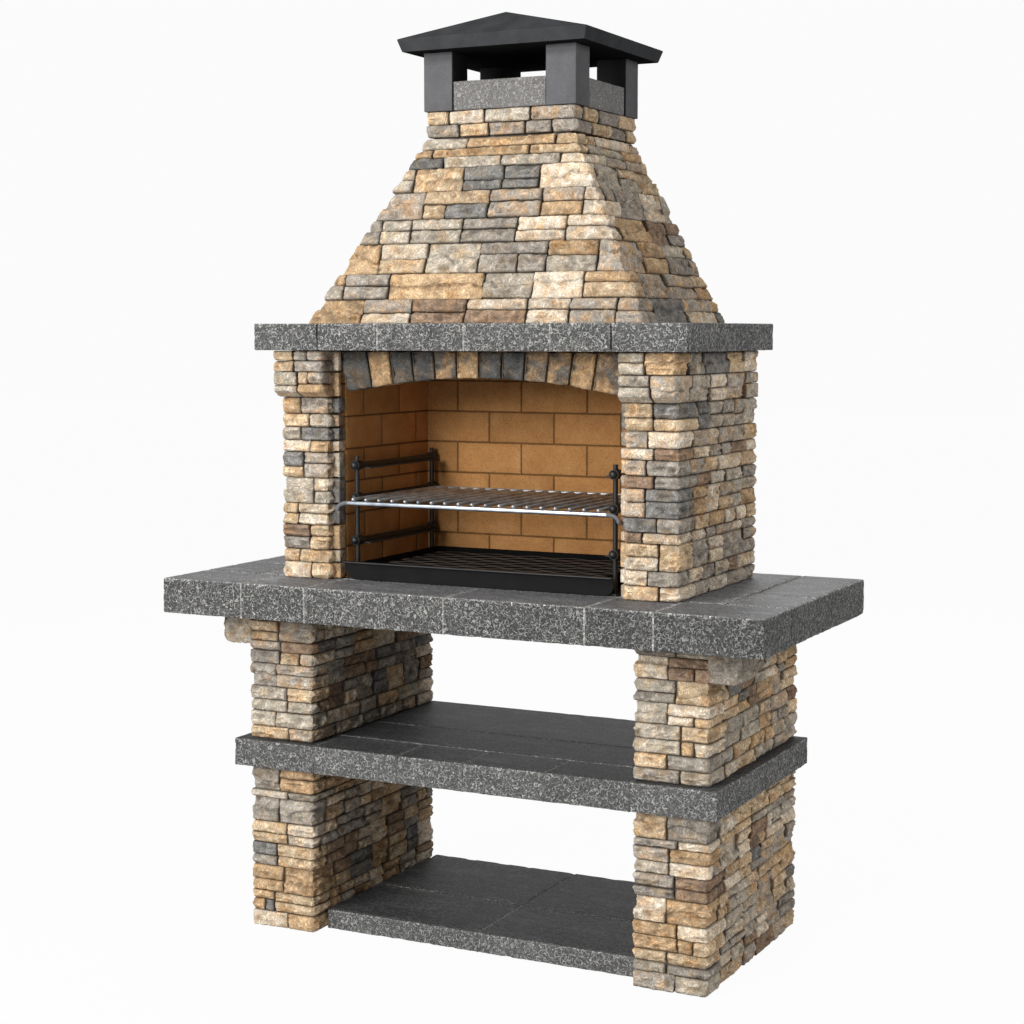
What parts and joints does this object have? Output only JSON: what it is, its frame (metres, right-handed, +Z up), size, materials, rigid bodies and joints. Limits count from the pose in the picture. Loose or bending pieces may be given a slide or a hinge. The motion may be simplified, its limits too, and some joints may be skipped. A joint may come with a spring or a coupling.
{
  "type": "masonry barbecue",
  "caption": "Masonry barbecue: split-stone legs and basalt shelves under an arched firebrick firebox with sliding grill, ember tray, half-pyramid hood and chimney cap.",
  "frame": {"origin": "on the paving, under the middle of the worktop", "axes": "+Z up, -Y out of the firebox's mouth towards the cook, +X to the cook's right"},
  "size_m": [1.58, 0.76, 2.281],
  "materials": {
    "split_stone": "split ledge stone, rough",
    "arch_stone": "split arch stone, rough",
    "basalt": "bush-hammered basalt, sealed",
    "concrete_core": "cast concrete",
    "cap_concrete": "smooth grey cast concrete",
    "roof_concrete": "smooth anthracite cast concrete",
    "firebrick": "buff firebrick",
    "black_steel": "heatproof matt black",
    "bright_steel": "bright plated rod",
    "cast_iron_grate": "black cast iron"
  },
  "bodies": {
    "masonry": {"arch_stones": "arch_stone", "back_firebricks": "firebrick", "back_stone": "split_stone", "cap_panels": "basalt", "cap_posts": "cap_concrete", "chimney_roof": "roof_concrete", "flue_block": "concrete_core", "ground_slab": "basalt", "hood_back_stone": "split_stone", "hood_front_stone": "split_stone", "hood_left_stone": "split_stone", "hood_lining": "concrete_core", "hood_right_stone": "split_stone", "left_cheek_core": "concrete_core", "left_cheek_stone": "split_stone", "left_corbel": "split_stone", "left_firebricks": "firebrick", "left_impost": "split_stone", "left_lower_leg_core": "concrete_core", "left_lower_leg_stone": "split_stone", "left_rack_bolts": "black_steel", "left_rack_clamps": "black_steel", "left_rack_feet": "black_steel", "left_rack_posts": "black_steel", "left_rack_rails": "black_steel", "left_upper_leg_core": "concrete_core", "left_upper_leg_stone": "split_stone", "mantel_front_stones": "basalt", "mantel_ring_stones": "basalt", "neck_stone": "split_stone", "right_cheek_core": "concrete_core", "right_cheek_stone": "split_stone", "right_corbel": "split_stone", "right_firebricks": "firebrick", "right_impost": "split_stone", "right_lower_leg_core": "concrete_core", "right_lower_leg_stone": "split_stone", "right_rack_bolts": "black_steel", "right_rack_clamps": "black_steel", "right_rack_feet": "black_steel", "right_rack_posts": "black_steel", "right_rack_rails": "black_steel", "right_upper_leg_core": "concrete_core", "right_upper_leg_stone": "split_stone", "shelf_edge_stones": "basalt", "shelf_slab": "basalt", "worktop_end_stones": "basalt", "worktop_front_stones": "basalt", "worktop_slab": "basalt"},
    "grill": {"grill_back_bar": "bright_steel", "grill_cross_bars": "bright_steel", "grill_front_bar": "bright_steel", "grill_left_handle": "bright_steel", "grill_right_handle": "bright_steel", "grill_rods": "bright_steel"},
    "tray": {"ember_tray": "black_steel", "tray_front_plate": "black_steel"},
    "grate": {"ember_grate": "cast_iron_grate", "grate_feet": "cast_iron_grate"}
  },
  "joints": [
    {"name": "grill_slide", "type": "slide", "parent": "masonry", "child": "grill", "axis": [0, -1, 0], "range_m": [0, 0.3]},
    {"name": "tray_slide", "type": "slide", "parent": "masonry", "child": "tray", "axis": [0, -1, 0], "range_m": [0, 0.37]},
    {"name": "grate_lift", "type": "slide", "parent": "tray", "child": "grate", "axis": [0, 0, 1], "range_m": [0, 0.1]}
  ]
}
